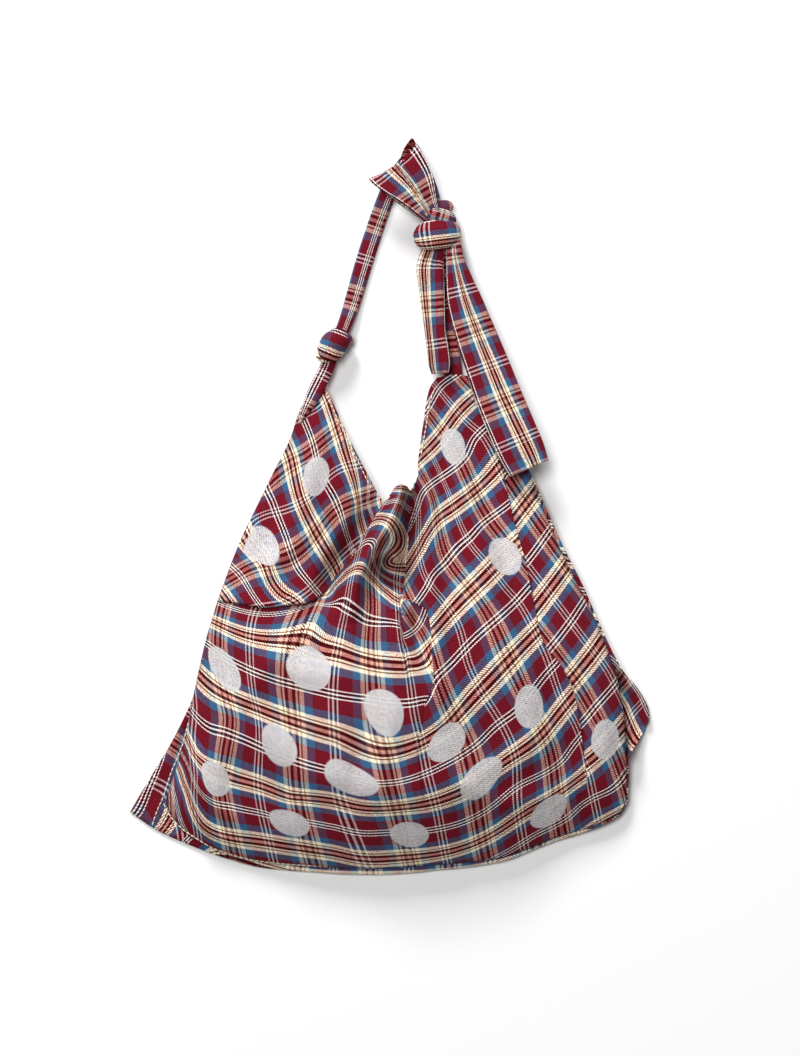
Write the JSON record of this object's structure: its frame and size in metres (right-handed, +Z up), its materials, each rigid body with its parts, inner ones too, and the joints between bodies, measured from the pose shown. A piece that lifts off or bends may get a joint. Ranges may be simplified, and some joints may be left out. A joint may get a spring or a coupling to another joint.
{
  "type": "knot bag",
  "caption": "Plaid flannel shoulder bag lying on its back: two body panels and long ties knotted into a half bow.",
  "frame": {"origin": "middle of the bag's outline on the surface it lies on", "axes": "+Z up from the surface through the front panel, +Y from the bottom seam to the top of the handle"},
  "size_m": [0.5167, 0.7348, 0.0864],
  "materials": {
    "flannel": "brushed cotton twill, red, blue and cream plaid",
    "flannel_tie": "brushed cotton twill, red, blue and cream plaid",
    "sewing_thread": "cream sewing thread"
  },
  "bodies": {
    "root": {"front_panel": "flannel", "back_panel": "flannel", "left_tie": "flannel_tie", "right_tie": "flannel_tie"}
  },
  "joints": []
}
